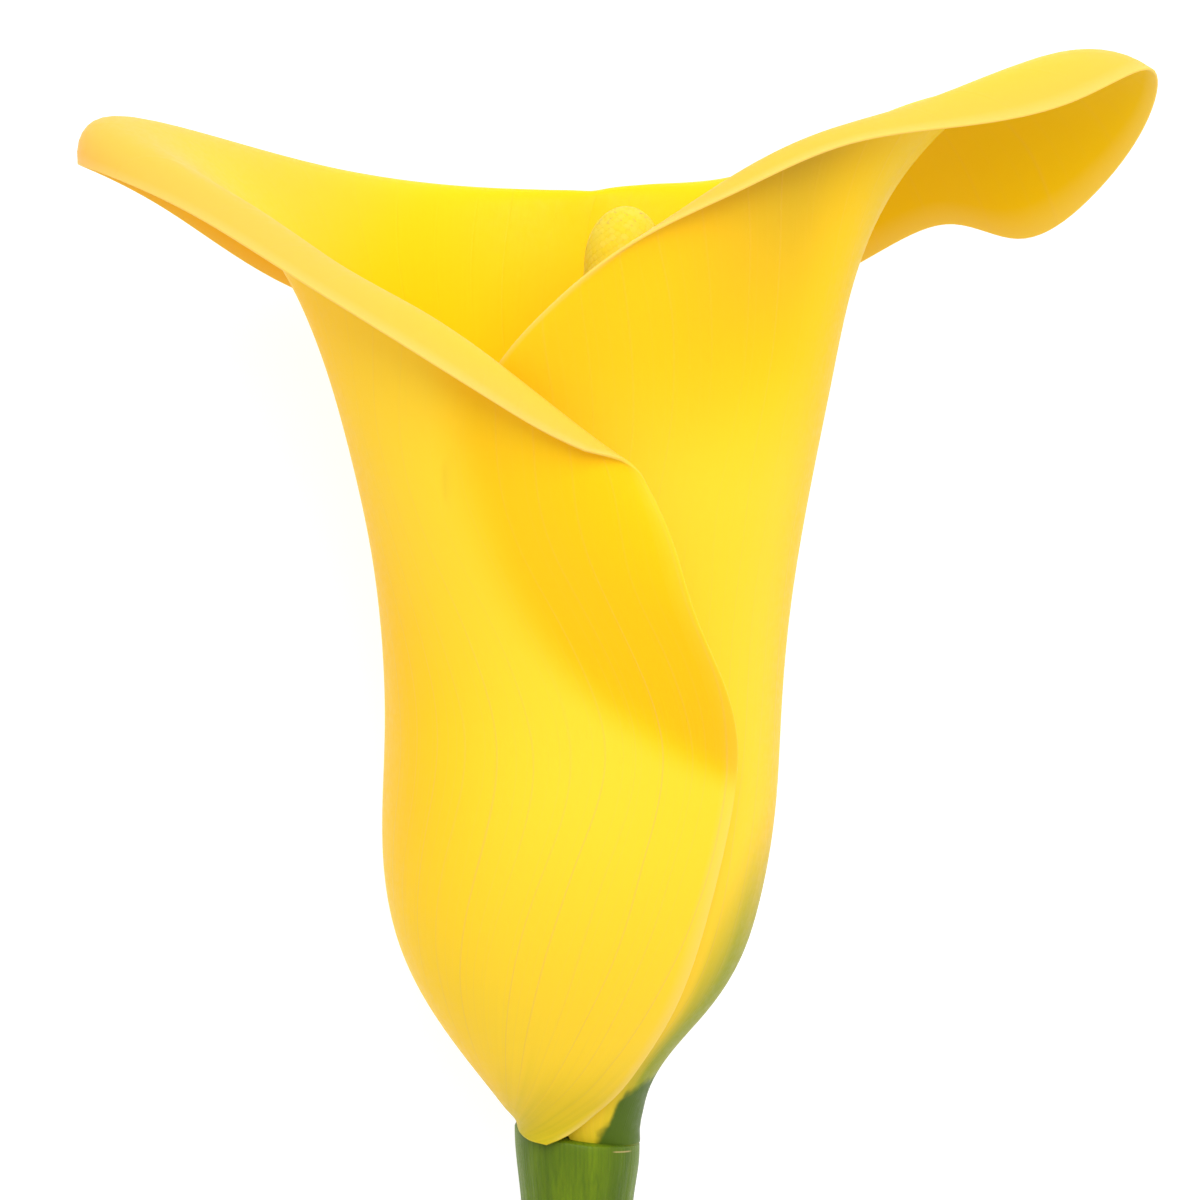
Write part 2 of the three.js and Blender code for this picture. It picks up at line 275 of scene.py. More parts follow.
# Spadix, standing on the stem and leaning to the right
SPADIX_FOOT = 4.3
SPADIX_LENGTH = 70.8
SPADIX_RADIUS = 3.15
SPADIX_DOME = 4.4
SPADIX_LEAN = math.radians(-3.1)
SPADIX_SIDES = 48
SPADIX_RINGS = 120
ROD_LEAST_RADIUS = 0.02
FEMALE_LENGTH = 14.0
FLORET_SPREAD = 0.75
SPECKS_START, SPECKS_END = 75.2, 77.2

# Florets: how high above the foot of their stretch they start, how far they sink in and how wide they are,
# for their relief and spacing, how much further the lower ones stand out, and how their widths vary
FIRST_FLORET = 0.8
FLORET_SINK = 0.3
LOWER_FLORET_WIDTH = 1.05
UPPER_FLORET_WIDTH = 1.1
LOWER_FLORET_RELIEF = 2.2
FLORET_VARIES = (0.86, 1.1)
FLORET_SIDES = 6
FLORET_RINGS = 4
GOLDEN_ANGLE = math.radians(137.508)

# Stem
STEM_LENGTH = 93.5
STEM_SHOULDER = -0.3
STEM_WAIST = -6
STEM_SIDE = -0.15
STEM_TOP_RADIUS = 5.0
STEM_WAIST_RADIUS = 4.4
STEM_CUT_RADIUS = 4.9
SHOULDER_BEVEL_HEIGHT = 0.4
STEM_BEND = 3.2
STEM_SIDES = 120
STEM_RINGS = 150
SPIGOT_RADIUS = 3.2
SPIGOT_TOP = 4.0
CUT_BEVEL = 0.25

# The cut end, hollowed a little: share of its radius, height above its rim. The shoulder's bevel: how far
# inside its radius, how far above it. The ribs: how many, how strong and in what phase.
CUT_PROFILE = ((0, 0.5), (0.35, 0.35), (0.75, 0.12))
SHOULDER_PROFILE = ((0, 0), (0.06, 0.14), (0.3, 0.24))
SPIGOT_STARTS = 0.28
SPIGOT_DOME = 0.35
COLLAR_RINGS = 13
RIBS = ((17, 1, 1.3), (29, 0.7, 0.4), (41, 0.5, 2.2))
RIBS_FADE = 8

# A pale healed scratch across the front of the stem
SCRATCH_HEIGHT = -0.5
SCRATCH_HALF = 0.08
SCRATCH_STARTS = 2.8
SCRATCH_ENDS = 4.4
SCRATCH_TAPER = 0.3

# The photograph: its size, its scale at the flower's axis, and where the foot of the axis lies in it
PHOTO_SIZE = 1200
PIXELS_PER_MM = 12.5
AXIS_FOOT_PIXEL = (579, 1140)

# The key light, in metres from the middle of the flower
KEY_PLACE = (0.19, 0.57, 1.05)
KEY_SIZE = 0.8


def smooth_step(value, low, high):
    """0 below low, 1 above high, and an even curve between them."""
    share = np.clip((np.asarray(value, float) - low) / (high - low), 0, 1)
    return share * share * (3 - 2 * share)


def fade(value, low, high):
    """1 below low, 0 above high, and an even curve between them."""
    return 1 - smooth_step(value, low, high)


def hump(value, low, full, fading, gone):
    """Rises from 0 to 1 between low and full, and falls to 0 again between fading and gone."""
    return smooth_step(value, low, full) * fade(value, fading, gone)


def blend_values(first, second, share):
    """The value that lies a share of the way from first to second."""
    return first + (second - first) * share


def read_table(table, place, column=1):
    """The table's value at a place between its rows."""
    return np.interp(place, [row[0] for row in table], [row[column] for row in table])


def stem_slant(side, height):
    """How much the slant of the stem's shoulder raises a point."""
    slanted = smooth_step(height, STEM_WAIST, STEM_SHOULDER)
    return np.where(height < SPIGOT_TOP, slanted * BASE_SLANT * (1 - side / STEM_TOP_RADIUS) / 2, 0)


def flower_matrix():
    """From the flower's own frame in millimetres to the frame it lies in, in metres."""
    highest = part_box("stem")[1] / MM
    shoulder = STEM_SHOULDER - SHOULDER_BEVEL_HEIGHT
    shoulder += float(stem_slant(0, shoulder))
    origin = Vector((
        highest.x - STEM_TOP_RADIUS - STEM_SIDE,
        highest.y - SPIGOT_TOP * math.cos(TILT) - SPIGOT_RADIUS * math.sin(TILT),
        highest.z - STEM_TOP_RADIUS * math.cos(TILT) - shoulder * math.sin(TILT),
    ))
    return Matrix.Scale(MM, 4) @ Matrix.Translation(origin) @ Matrix.Rotation(TILT, 4, "X")


def add_object(name, data):
    """A new object in the scene."""
    thing = bpy.data.objects.new(name, data)
    bpy.context.scene.collection.objects.link(thing)
    return thing


def build_mesh(name, points, faces, matrix, materials, face_materials=None, uvs=None, values=None):
    """A smooth mesh object at the origin, whose points are placed by matrix, with one UV pair and named
    numbers or vectors for each point."""
    mesh = bpy.data.meshes.new(name)
    mesh.from_pydata(np.asarray(points, float).tolist(), [], faces)
    mesh.transform(matrix)
    for material in materials:
        mesh.materials.append(material)
    if face_materials is not None:
        mesh.polygons.foreach_set("material_index", face_materials)
    if uvs is not None:
        corners = np.empty(len(mesh.loops), np.int32)
        mesh.loops.foreach_get("vertex_index", corners)
        mesh.uv_layers.new(name="UVMap").data.foreach_set("uv", uvs[corners].astype(np.float32).ravel())
    for label, numbers in (values or {}).items():
        numbers = np.asarray(numbers, np.float32)
        kind, field = ("FLOAT", "value") if numbers.ndim == 1 else ("FLOAT_VECTOR", "vector")
        mesh.attributes.new(label, kind, "POINT").data.foreach_set(field, numbers.ravel())
    mesh.shade_smooth()
    return add_object(name, mesh)


def turned_mesh(profile, sides):
    """Points and faces of a closed solid turned round the up axis, from (radius, height) pairs. The first
    and last pair lie on the axis."""
    turns = np.linspace(0, 2 * math.pi, sides, endpoint=False)
    points = [(0, profile[0][1], 0)]
    for radius, height in profile[1:-1]:
        points.extend(zip(radius * np.sin(turns), np.full(sides, height), radius * np.cos(turns)))
    points.append((0, profile[-1][1], 0))
    last = len(points) - 1 - sides
    faces = []
    for side in range(sides):
        after = (side + 1) % sides
        faces.append((0, 1 + after, 1 + side))
        for low in range(1, last, sides):
            faces.append((low + side, low + after, low + sides + after, low + sides + side))
        faces.append((last + side, last + after, len(points) - 1))
    return np.array(points, float), faces


def finish_piece(piece, node):
    """The piece stands for its node and moves with its body."""
    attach(piece, BODY)
    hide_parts(node)


# Spathe

def tube_points(share, height):
    """Points of the tube's wall at shares of the way round the leaf, at the heights given."""
    turn = blend_values(read_table(OUTER_EDGE, height), read_table(INNER_EDGE, height), share)
    shift = OUTER_LAYER_SHIFT * smooth_step(turn, *OUTER_SHIFT_ANGLES)
    shift = shift + INNER_LAYER_SHIFT * smooth_step(-turn, *INNER_SHIFT_ANGLES)
    shift = shift * blend_values(BASE_SHIFT_SHARE, 1, smooth_step(height, 0, BASE_SHIFT_HEIGHT))
    left, right, front, back = (read_table(TUBE, height, column) for column in (1, 2, 3, 4))
    across, along = np.sin(np.radians(turn)), np.cos(np.radians(turn))
    side = (left + right) / 2 + ((right - left) / 2 + shift) * across
    depth = (np.where(along > 0, front, back) + shift) * along
    slant = BASE_SLANT * (1 - across) / 2 * fade(height, 0, SLANT_ENDS)
    return np.stack([side, height + slant, depth], axis=1)


def spathe_net():
    """Control points in rows from the base up the tube, over the roll and down to the rim."""
    turn, side, height, front, rise, inset = np.array(RIM, float).T
    share = (turn - turn[0]) / (turn[-1] - turn[0])
    throat = (height + np.maximum(rise, 0)) * THROAT_SHARE
    rows = [tube_points(share, throat * (row / (TUBE_ROWS - 1)) ** ROW_CROWDING) for row in range(TUBE_ROWS)]
    inward = 1 - inset / np.hypot(side, front)
    roll = np.stack([side * inward, height + rise, front * inward], axis=1)
    rows.append(blend_values(rows[-1], roll, np.array((FLARE_OUT, FLARE_UP, FLARE_OUT))))
    rows.append(roll)
    rows.append(np.stack([side, height, front], axis=1))
    return np.stack(rows), share


def spline_weights(count, places):
    """How much each control point of a clamped cubic spline counts at places from 0 to 1."""
    knots = np.concatenate([np.zeros(3), np.linspace(0, 1, count - 2), np.ones(3)])
    places = np.clip(places, 0, 1)[:, None]
    last = (knots[:-1] < 1) & (knots[1:] == 1)
    weights = ((places >= knots[:-1]) & ((places < knots[1:]) | (last & (places == 1)))).astype(float)
    for degree in (1, 2, 3):
        left = knots[degree:] - knots[:-degree]
        rising = np.divide(places - knots[:-degree], left, out=np.zeros_like(places - left), where=left > 0)
        weights = rising[:, :-1] * weights[:, :-1] + (1 - rising[:, 1:]) * weights[:, 1:] * (left[1:] > 0)
    return weights


def press_flat(points):
    """What would sink below the level that the flower lies on is pressed flat there."""
    down = np.array((0, math.sin(TILT), math.cos(TILT)))
    level = points @ down
    lift = REST_SOFTNESS * np.logaddexp(0, (REST_LEVEL - level) / REST_SOFTNESS)
    return points + lift[..., None] * down


def past_crease(points):
    """How far points lie to the right of the fold's crease."""
    swing = np.exp((CREASE_HEIGHT - points[..., 1]) / CREASE_SWING)
    return points[..., 0] - CREASE_LEFT - CREASE_REACH * swing


def fold_up(points, rounds):
    """Beside the free edge the outer layer is turned up to the front."""
    rise = FOLD_SOFTNESS * np.logaddexp(0, past_crease(points) / FOLD_SOFTNESS)
    points[..., 2] += np.where(rounds <= OUTER_LAYER_ENDS, FOLD_SLOPE * rise, 0)
    return points


def rounded_corner(ups, rounds):
    """A grid of places round the leaf, moved in from the free edge near the lip so that its corner is
    round."""
    near = np.clip((ups - CORNER_STARTS) / (1 - CORNER_STARTS), 0, 1)[:, None]
    return rounds + CORNER_ROUND * (1 - np.sqrt(1 - near ** 2)) * (1 - rounds) ** 2


def sheet_points(ups, rounds):
    """The middle of the leaf's sheet, at shares of the way up and, for each of them, of the way round."""
    net, _ = spathe_net()
    high = spline_weights(len(net), ups)
    lines = np.tensordot(high, net, axes=1)
    rows = [spline_weights(net.shape[1], places) @ line for places, line in zip(rounds, lines)]
    return press_flat(fold_up(np.stack(rows), rounds))


def unit(vectors):
    """The vectors at length 1."""
    return vectors / np.maximum(np.linalg.norm(vectors, axis=-1, keepdims=True), 1e-12)


def sheet_normals(ups, rounds):
    """Directions out of the leaf's outer face."""
    along_up = sheet_points(ups + PLACE_STEP, rounds) - sheet_points(ups - PLACE_STEP, rounds)
    along_round = sheet_points(ups, rounds + PLACE_STEP) - sheet_points(ups, rounds - PLACE_STEP)
    return unit(np.cross(along_up, along_round))


def border_loop(high, wide):
    """The grid's border once round, as rows and columns, and for each the grid point one step inside."""
    corners = ((0, 0), (0, wide - 1), (high - 1, wide - 1), (high - 1, 0), (0, 0))
    sides = []
    for (row, column), (next_row, next_column) in zip(corners, corners[1:]):
        steps = abs(next_row - row) + abs(next_column - column)
        sides.append(np.linspace((row, column), (next_row, next_column), steps, endpoint=False))
    loop = np.rint(np.concatenate(sides)).astype(int)
    return tuple(loop.T), tuple(np.clip(loop, 1, (high - 2, wide - 2)).T)


def closed_sheet(middle, normal, half):
    """Points and faces of a sheet round a grid of middle points, with round edges, and for each point the
    grid point that it belongs to and how far it lies on the edge or the inner face."""
    high, wide = half.shape
    grid = np.arange(high * wide).reshape(high, wide)
    outer = (middle + normal * half[..., None]).reshape(-1, 3)
    inner = (middle - normal * half[..., None]).reshape(-1, 3)
    at, within = border_loop(high, wide)
    border = grid[at]
    outward = middle[at] - middle[within]
    outward -= normal[at] * np.sum(outward * normal[at], axis=1, keepdims=True)
    outward = unit(outward)
    edges, rings = [], [border]
    first_edge = 2 * high * wide
    for step in range(1, EDGE_STEPS):
        turn = math.pi * step / EDGE_STEPS
        reach = half[at][:, None] * (math.cos(turn) * normal[at] + math.sin(turn) * outward)
        edges.append(middle[at] + reach)
        rings.append(first_edge + (step - 1) * len(border) + np.arange(len(border)))
    rings.append(high * wide + border)
    a, b, c, d = grid[:-1, :-1], grid[1:, :-1], grid[1:, 1:], grid[:-1, 1:]
    outside = np.stack([a, b, c, d], axis=-1).reshape(-1, 4)
    faces = [outside, outside[:, ::-1] + high * wide]
    for ring, following in zip(rings[:-1], rings[1:]):
        faces.append(np.stack([ring, np.roll(ring, -1), np.roll(following, -1), following], axis=1))
    points = np.concatenate([outer, inner, *edges])
    owner = np.concatenate([grid.ravel(), grid.ravel(), *[border] * (EDGE_STEPS - 1)])
    parts = (grid.size, grid.size, len(points) - first_edge)
    on_edge, on_inner = np.repeat((0, 0, 1), parts), np.repeat((0, 1, 0.5), parts)
    return points, np.concatenate(faces), owner, on_edge, on_inner


def edge_distances(middle):
    """Distances in millimetres from each grid point to the nearest side edge or the rim, to the base, and to
    the rim."""
    across = np.linalg.norm(np.diff(middle, axis=1), axis=2)
    along = np.linalg.norm(np.diff(middle, axis=0), axis=2)
    from_first = np.pad(np.cumsum(across, axis=1), ((0, 0), (1, 0)))
    to_last = from_first[:, -1:] - from_first
    from_base = np.pad(np.cumsum(along, axis=0), ((1, 0), (0, 0)))
    to_rim = from_base[-1:] - from_base
    return np.minimum(np.minimum(from_first, to_last), to_rim), from_base, to_rim


def make_spathe(settings, material):
    """The leaf as a thin sheet with round edges, and the masks of its painted shade, sheen and highlights."""
    ups = np.linspace(0, 1, STEPS_UP + 1)
    rounds = rounded_corner(ups, np.linspace(0, 1, STEPS_ROUND + 1))
    middle, normal = sheet_points(ups, rounds), sheet_normals(ups, rounds)
    net, control_share = spathe_net()
    share = np.stack([spline_weights(net.shape[1], places) @ control_share for places in rounds])
    thinned = smooth_step(ups, 0, THINNED_BY)[:, None] * np.ones_like(share)
    base, rim = settings.base_thickness / MM, settings.rim_thickness / MM
    distance, from_base, to_rim = edge_distances(middle)
    at_base = fade(from_base, 0, BASE_EDGE_ENDS)
    half = blend_values(base, rim, thinned) / 2 * blend_values(1, BASE_EDGE_SHARE, at_base)
    half = half * blend_values(EDGE_SHARE, 1, smooth_step(distance, 0, EDGE_THIN))
    lobe = fade(rounds, 0, LOBE_ENDS)
    middle = middle + normal * ((SOLID_HALF - half) * at_base * lobe)[..., None]
    middle[..., 1] -= LOBE_DROP * fade(from_base, 0, LOBE_HEIGHT) * lobe
    points, faces, owner, on_edge, on_inner = closed_sheet(middle, normal, half)
    uvs = np.stack([share.ravel()[owner], from_base.ravel()[owner] / UV_HEIGHT], axis=1)
    # Painted highlight along the edges and on their round faces
    margin = np.maximum(on_edge, fade(distance, 0, settings.margin / MM).ravel()[owner])
    height = middle[..., 1]
    left_wing = hump(share, *LEFT_WING)
    # Painted sheen and shade beside the rim, wider and stronger on the left wing
    band = settings.rim_sheen_band / MM * (1 + left_wing)
    # Painted shade on the outer face under the right lip
    right_lip_shade = smooth_step(share, *RIGHT_LIP) * (1 - LIP_SHADE_DROP * smooth_step(share, *LEFT_OF_LIP))
    right_lip_shade = right_lip_shade * fade(to_rim, *LIP_SHADE_FADES)
    past = past_crease(middle)
    outer_layer = rounds <= OUTER_LAYER_ENDS
    # Painted shade on the right flank
    flank_shade = FLANK_SHADE_STRENGTH * hump(share, *RIGHT_FLANK) * fade(height, *FLANK_SHADE_FADES)
    # Painted highlights on the bulge left of the crease and on the front of the tube
    bulge_highlight = smooth_step(-past, *BULGE_HIGHLIGHT_BESIDE_CREASE) * fade(rounds, *OUTER_BULGE_HIGHLIGHT_FADES)
    tube_front_highlight = smooth_step(share, *TUBE_FRONT) * fade(height, *TUBE_FRONT_HIGHLIGHT_FADES)
    # The painted highlight along the edges is dulled high up, away from the rim
    dulled_edge_highlight = smooth_step(height, *EDGE_HIGHLIGHT_FADES) * smooth_step(to_rim, *EDGE_HIGHLIGHT_NEAR_RIM)
    values = {
        "flush": read_table(FLUSH_TOP, share) - height,
        "stem_green": read_table(STEM_GREEN_TOP, share) - height,
        # Painted sheen and shade beside the rim
        "rim_sheen": fade(to_rim / band, 0, 1) * (1 + LEFT_WING_MORE_SHEEN * left_wing),
        # Painted shade under the right lip
        "painted_lip_shade": right_lip_shade * fade(share, *HIDDEN_CORNER),
        # Painted shade on the fold and the right flank
        "painted_fold_and_flank_shade": np.where(outer_layer, smooth_step(past, *FOLD_SHADE_BESIDE_CREASE), flank_shade),
        # Painted highlight on the bulge and the front of the tube
        "paler": np.where(outer_layer, bulge_highlight, tube_front_highlight),
        # Painted shade on the back of the higher wing
        "wing_back_shade": hump(share, *RIGHT_WING) * smooth_step(height, *WING_BACK_SHADE_RISES),
        # Painted highlight along the edges
        "margin": smooth_step(from_base, *EDGE_HIGHLIGHT_FROM_BASE) * (1 - EDGE_HIGHLIGHT_DULLING * dulled_edge_highlight),
    }
    values = {name: value.ravel()[owner] for name, value in values.items()}
    # The painted highlight along the edges covers the round edges too
    values["margin"] = values["margin"] * margin
    values["inner"] = on_inner
    return build_mesh(
        "spathe_leaf", points, faces.tolist(), flower_matrix(), [material], uvs=uvs, values=values)


# Spadix

def spadix_radius(height):
    """Radius of the rod at a height above its foot."""
    past = np.clip((height - (SPADIX_LENGTH - SPADIX_DOME)) / SPADIX_DOME, 0, 1)
    return SPADIX_RADIUS * np.sqrt(np.maximum(0, 1 - past ** 2))


def link_math(tree, operation, first, second=None, clamp=False):
    """A math node's result. Each value is a number or another node's output."""
    node = tree.nodes.new("ShaderNodeMath")
    node.operation, node.use_clamp = operation, clamp
    for socket, value in zip(node.inputs, (first, second)):
        join(tree, value, socket)
    return node.outputs[0]


def times(tree, first, second):
    """The product of two values."""
    return link_math(tree, "MULTIPLY", first, second)


def plus(tree, first, second):
    """The sum of two values."""
    return link_math(tree, "ADD", first, second)


def minus(tree, first, second):
    """The first value less the second."""
    return link_math(tree, "SUBTRACT", first, second)


def join(tree, value, socket):
    """Sets a socket to a number or colour, or links it to another node's output."""
    if isinstance(value, bpy.types.NodeSocket):
        tree.links.new(value, socket)
    elif isinstance(value, Color):
        socket.default_value = (*value, 1)
    elif value is not None:
        socket.default_value = value


def set_inputs(tree, node, inputs):
    """Sets a node's inputs by name to values or other nodes' outputs."""
    for name, value in inputs.items():
        join(tree, value, node.inputs[name])


def add_node(tree, kind, inputs=None, **settings):
    """A node with its settings and inputs."""
    node = tree.nodes.new(kind)
    for name, value in settings.items():
        setattr(node, name, value)
    set_inputs(tree, node, inputs or {})
    return node


def add_sockets(tree, direction, kind, names):
    """Sockets of one kind into or out of a tree."""
    for name in names:
        tree.interface.new_socket(name, in_out=direction, socket_type="NodeSocket" + kind)


def vector_of(tree, x, y, z=0.0):
    """A vector from its three values."""
    return add_node(tree, "ShaderNodeCombineXYZ", {"X": x, "Y": y, "Z": z}).outputs[0]


def values_of(tree, vector):
    """The three values of a vector."""
    return add_node(tree, "ShaderNodeSeparateXYZ", {"Vector": vector}).outputs


def floret_tree():
    """Geometry nodes that cover a stretch of a rod with florets on a golden-angle spiral."""
    tree = bpy.data.node_groups.new("rod_florets", "GeometryNodeTree")
    tree.is_modifier = True
    add_sockets(tree, "INPUT", "Geometry", ["Geometry"])
    add_sockets(tree, "INPUT", "Int", ["Florets"])
    add_sockets(tree, "INPUT", "Float", ["From", "To", "Rod length", "Rod radius", "Dome", "Size", "Relief"])
    add_sockets(tree, "INPUT", "Material", ["Material"])
    add_sockets(tree, "OUTPUT", "Geometry", ["Geometry"])
    given = tree.nodes.new("NodeGroupInput").outputs
    index = tree.nodes.new("GeometryNodeInputIndex").outputs["Index"]
    share = link_math(tree, "DIVIDE", plus(tree, index, 0.5), given["Florets"])
    stretch = minus(tree, given["To"], given["From"])
    height = plus(tree, given["From"], times(tree, share, stretch))
    dome_foot = minus(tree, given["Rod length"], given["Dome"])
    past = link_math(tree, "DIVIDE", minus(tree, height, dome_foot), given["Dome"])
    past = link_math(tree, "MAXIMUM", past, 0)
    narrowing = link_math(tree, "SQRT", minus(tree, 1, times(tree, past, past)))
    turn = times(tree, index, GOLDEN_ANGLE)
    side, front = link_math(tree, "SINE", turn), link_math(tree, "COSINE", turn)
    ring = times(tree, narrowing, given["Rod radius"])
    place = vector_of(tree, times(tree, side, ring), height, times(tree, front, ring))
    upward = link_math(tree, "DIVIDE", times(tree, past, given["Rod radius"]), given["Dome"])
    facing = vector_of(tree, times(tree, side, narrowing), upward, times(tree, front, narrowing))
    points = add_node(tree, "GeometryNodePoints", {"Count": given["Florets"], "Position": place})
    floret = add_node(
        tree, "GeometryNodeMeshUVSphere", {"Segments": FLORET_SIDES, "Rings": FLORET_RINGS, "Radius": 1.0})
    turned = add_node(tree, "FunctionNodeAlignRotationToVector", {"Vector": facing}, axis="Z")
    vary = add_node(tree, "FunctionNodeRandomValue", {"Seed": 7}, data_type="FLOAT")
    vary.inputs[2].default_value, vary.inputs[3].default_value = FLORET_VARIES
    half = times(tree, times(tree, given["Size"], 0.5), vary.outputs[1])
    placed = add_node(tree, "GeometryNodeInstanceOnPoints", {
        "Points": points.outputs[0],
        "Instance": floret.outputs[0],
        "Rotation": turned.outputs[0],
        "Scale": vector_of(tree, half, half, given["Relief"]),
    })
    tone = add_node(tree, "FunctionNodeRandomValue", {"Seed": 19}, data_type="FLOAT")
    toned = add_node(tree, "GeometryNodeStoreNamedAttribute", {
        "Geometry": placed.outputs[0],
        "Name": "floret_tone",
        "Value": tone.outputs[1],
    }, data_type="FLOAT", domain="INSTANCE")
    real = add_node(tree, "GeometryNodeRealizeInstances", {"Geometry": toned.outputs[0]})
    painted = add_node(tree, "GeometryNodeSetMaterial", {
        "Geometry": real.outputs[0], "Material": given["Material"],
    })
    both = add_node(tree, "GeometryNodeJoinGeometry")
    tree.links.new(painted.outputs[0], both.inputs[0])
    tree.links.new(given["Geometry"], both.inputs[0])
    out = tree.nodes.new("NodeGroupOutput")
    tree.links.new(both.outputs[0], out.inputs[0])
    return tree


def add_tree(piece, tree, inputs):
    """Puts a geometry node tree on a piece, with its inputs by name."""
    modifier = piece.modifiers.new(tree.name, "NODES")
    modifier.node_group = tree
    for item in tree.interface.items_tree:
        if item.in_out == "INPUT" and item.name in inputs:
            modifier[item.identifier] = inputs[item.name]


def made_plain(piece, name, matrix):
    """A plain mesh object of what the piece's modifiers make, placed by matrix. The piece is removed."""
    evaluated = piece.evaluated_get(bpy.context.evaluated_depsgraph_get())
    mesh = bpy.data.meshes.new_from_object(evaluated)
    bpy.data.objects.remove(piece)
    mesh.name = name
    mesh.transform(matrix)
    return add_object(name, mesh)


def make_spadix(settings, material):
    """A blunt rod covered with small florets, larger ones low down."""
    relief = settings.floret_relief / MM
    sunk = relief * FLORET_SINK
    heights = SPADIX_LENGTH * np.sin(np.linspace(0, math.pi / 2, SPADIX_RINGS + 1)) - sunk
    rod_radius = spadix_radius(heights) - sunk
    profile = [(0, 0)] + list(zip(np.maximum(rod_radius, ROD_LEAST_RADIUS), np.maximum(heights, 0)))[:-1]
    profile.append((0, SPADIX_LENGTH - sunk))
    points, faces = turned_mesh(profile, SPADIX_SIDES)
    rod = build_mesh("spadix_rod", points, faces, Matrix(), [material])
    tree = floret_tree()
    rod_length = SPADIX_LENGTH - 2 * sunk
    around = 2 * math.pi * SPADIX_RADIUS
    for low, high, spacing, width, stands_out in (
        (0, FEMALE_LENGTH, settings.female_size / MM, LOWER_FLORET_WIDTH, LOWER_FLORET_RELIEF),
        (FEMALE_LENGTH, SPADIX_LENGTH, settings.floret_size / MM, UPPER_FLORET_WIDTH, 1),
    ):
        add_tree(rod, tree, {
            "Rod length": rod_length,
            "Rod radius": SPADIX_RADIUS - 2 * sunk,
            "Dome": SPADIX_DOME,
            "Material": material,
            "From": low + FIRST_FLORET,
            "To": min(high, rod_length),
            "Size": spacing * width,
            "Relief": relief * stands_out,
            "Florets": int(around * (high - low) / (spacing ** 2 * FLORET_SPREAD)),
        })
    stand = Matrix.Translation((0, SPADIX_FOOT, 0)) @ Matrix.Rotation(SPADIX_LEAN, 4, "Z")
    return made_plain(rod, "spadix_florets", flower_matrix() @ stand)


# Stem

def make_stem(settings, skin, cut):
    """A fleshy rod with faint ribs, its shoulder under the leaf, its cut end and its spigot in the leaf."""
    heights = np.linspace(-STEM_LENGTH + CUT_BEVEL, STEM_WAIST, STEM_RINGS)
    slimming = smooth_step(-heights, 0, STEM_LENGTH)
    radii = blend_values(STEM_WAIST_RADIUS, STEM_CUT_RADIUS, slimming)
    rise = np.linspace(0, 1, COLLAR_RINGS + 1)[1:]
    collar = STEM_WAIST + (STEM_SHOULDER - SHOULDER_BEVEL_HEIGHT - STEM_WAIST) * rise
    collar_radii = blend_values(radii[-1], STEM_TOP_RADIUS, smooth_step(rise, 0, 1))
    profile = [(STEM_CUT_RADIUS * inside, -STEM_LENGTH + above) for inside, above in CUT_PROFILE]
    profile.append((STEM_CUT_RADIUS - CUT_BEVEL, -STEM_LENGTH))
    cut_rings = len(profile) - 1
    profile += list(zip(radii, heights)) + list(zip(collar_radii, collar))
    profile += [(STEM_TOP_RADIUS - inset, STEM_SHOULDER + above) for inset, above in SHOULDER_PROFILE]
    profile.append((SPIGOT_RADIUS, STEM_SHOULDER + SPIGOT_STARTS))
    profile += [(SPIGOT_RADIUS, SPIGOT_TOP), (0, SPIGOT_TOP + SPIGOT_DOME)]
    points, faces = turned_mesh(profile, STEM_SIDES)
    turn = np.arctan2(points[:, 0], points[:, 2])
    below = np.clip(-points[:, 1] / STEM_LENGTH, 0, 1)
    ribs = sum(strength * np.sin(count * turn + phase) for count, strength, phase in RIBS)
    swell = 1 + settings.rib_height / MM * ribs * smooth_step(-points[:, 1], 0, RIBS_FADE) / STEM_CUT_RADIUS
    places = points.copy()
    points[:, 1] += stem_slant(places[:, 0], places[:, 1])
    points[:, 0] *= swell
    points[:, 2] *= swell
    points[:, 0] += STEM_SIDE - STEM_BEND * below ** 2
    face_materials = [int(max(face) <= cut_rings * STEM_SIDES) for face in faces]
    skins, values = [skin, cut], {"stalk_place": places}
    return build_mesh("stem_stalk", points, faces, flower_matrix(), skins, face_materials, values=values)


# Materials

def new_material(name):
    """An empty node material with its Principled shader, and the tree they are in."""
    material = bpy.data.materials.new(name)
    material.use_nodes = True
    return material, material.node_tree, material.node_tree.nodes["Principled BSDF"]


def mix_colors(tree, share, first, second):
    """The colour that lies a share of the way from first to second."""
    node = add_node(tree, "ShaderNodeMix", data_type="RGBA", blend_type="MIX")
    for value, place in ((share, 0), (first, 6), (second, 7)):
        join(tree, value, node.inputs[place])
    return node.outputs[2]


def paint(tree, colour, layers):
    """The colour with layers over it, each a mask and its own colour."""
    for mask, tint in layers:
        colour = mix_colors(tree, mask, colour, tint)
    return colour


def map_range(tree, value, low, high, to_low=0.0, to_high=1.0, smooth=False):
    """The value moved from one range to another, held inside it."""
    node = add_node(tree, "ShaderNodeMapRange", {
        "Value": value, "From Min": low, "From Max": high, "To Min": to_low, "To Max": to_high,
    })
    node.interpolation_type = "SMOOTHSTEP" if smooth else "LINEAR"
    return node.outputs[0]


def noise(tree, vector, scale, detail=2.0, roughness=0.5, dimensions="3D"):
    """A noise value between 0 and 1 over the vector, at one scale or at one for each axis."""
    if isinstance(scale, tuple):
        vector = add_node(tree, "ShaderNodeMapping", {"Vector": vector, "Scale": scale}).outputs[0]
        scale = 1.0
    node = add_node(tree, "ShaderNodeTexNoise", {
        "Vector": vector, "Scale": scale, "Detail": detail, "Roughness": roughness,
    }, noise_dimensions=dimensions)
    return node.outputs[0]


